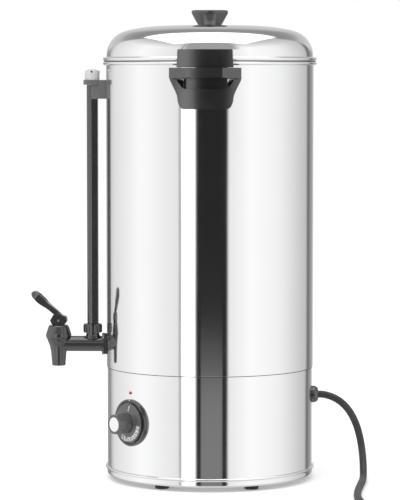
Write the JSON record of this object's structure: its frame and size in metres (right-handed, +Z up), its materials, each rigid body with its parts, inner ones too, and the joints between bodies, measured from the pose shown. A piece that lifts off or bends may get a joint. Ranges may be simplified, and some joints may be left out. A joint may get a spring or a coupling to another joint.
{
  "type": "hot water urn",
  "caption": "Tall polished steel hot water urn with a drip tap, upright sight gauge, black side handles, domed lift-off lid, thermostat knob and supply cord.",
  "frame": {"origin": "on the urn's axis, on the table under its feet", "axes": "+Z up; the tap points to -Y, one handle to +X, and the supply cord leaves at +Y"},
  "size_m": [0.6339, 0.4524, 0.5885],
  "materials": {
    "stainless_steel": "bright, mirror-like with a faint grain",
    "plated_steel": "zinc or nickel plated",
    "black_plastic": "semi-gloss moulded",
    "rubber": "matt",
    "silicone": "translucent white",
    "cord_rubber": "satin",
    "brass": "turned",
    "aluminium": "cast, satin",
    "element_sheath": "heat-tinted",
    "copper": "drawn copper",
    "ceramic": "matt, off-white",
    "wire_insulation": "satin",
    "clear_glass": "clear",
    "white_plastic": "semi-gloss white",
    "pale_insert": "smooth, off-white",
    "red_lens": "translucent red",
    "red_plastic": "smooth"
  },
  "bodies": {
    "urn": {"tank_shell": "stainless_steel", "tank_bottom": "stainless_steel", "base_skirt": "stainless_steel", "base_ring": "stainless_steel", "base_plate": "plated_steel", "base_screws": "plated_steel", "rubber_feet": "rubber", "foot_screws": "plated_steel", "heat_spreader": "aluminium", "heating_element": "element_sheath", "handle_right": "black_plastic", "handle_left": "black_plastic", "handle_screws": "plated_steel", "tap_body": "black_plastic", "tap_gasket": "rubber", "tap_lock_nut": "brass", "tap_cap": "black_plastic", "tap_spring": "plated_steel", "gauge_nut": "black_plastic", "gauge_seal": "rubber", "gauge_glass": "clear_glass", "gauge_guard": "black_plastic", "gauge_bracket": "black_plastic", "gauge_screw": "plated_steel", "vent_cap": "white_plastic", "thermostat_body": "ceramic", "dial_bezel": "black_plastic", "thermostat_probe": "copper", "pilot_lamp": "red_lens", "lamp_holder": "black_plastic", "cutout_body": "ceramic", "cutout_probe": "copper", "terminal_block": "ceramic", "wiring": "wire_insulation", "cord_gland": "black_plastic", "gland_nut": "black_plastic", "cord_tail": "cord_rubber", "power_cord": "cord_rubber", "cord_coil": "cord_rubber", "plug_body": "cord_rubber", "plug_pins": "brass"},
    "lid": {"lid_shell": "stainless_steel", "lid_spigot": "stainless_steel", "lid_knob": "black_plastic", "lid_screw": "plated_steel", "lid_lug_right": "black_plastic", "lid_lug_left": "black_plastic", "lug_rivets": "plated_steel"},
    "dial": {"thermostat_knob": "black_plastic", "knob_insert": "pale_insert", "thermostat_shaft": "plated_steel"},
    "stem": {"tap_stem": "brass", "seat_cup": "silicone"},
    "lever": {"tap_lever": "black_plastic", "lever_pin": "plated_steel"},
    "reset": {"reset_button": "red_plastic"}
  },
  "joints": [
    {"name": "lid_lift", "type": "slide", "parent": "urn", "child": "lid", "axis": [0, 0, 1], "range_m": [0, 0.15]},
    {"name": "thermostat_turn", "type": "hinge", "parent": "urn", "child": "dial", "pos_m": [0.08866, -0.09508, 0.08], "axis": [0.682, -0.7314, 0], "range_deg": [0, 215]},
    {"name": "stem_lift", "type": "slide", "parent": "urn", "child": "stem", "axis": [0, 0, 1], "range_m": [0, 0.0042], "deforming": ["tap_spring"]},
    {"name": "lever_press", "type": "hinge", "parent": "stem", "child": "lever", "pos_m": [0, -0.1912, 0.1985], "axis": [1, 0, 0], "range_deg": [0, 38], "stiffness_Nm_per_rad": 0.05, "springref_deg": -17.19},
    {"name": "reset_press", "type": "slide", "parent": "urn", "child": "reset", "axis": [0, 0, 1], "range_m": [0, 0.0015], "stiffness_N_per_m": 400, "springref_m": -0.002}
  ],
  "couplings": [
    {"joint": "stem_lift", "follows": "lever_press", "m_per_rad": 0.00633}
  ]
}
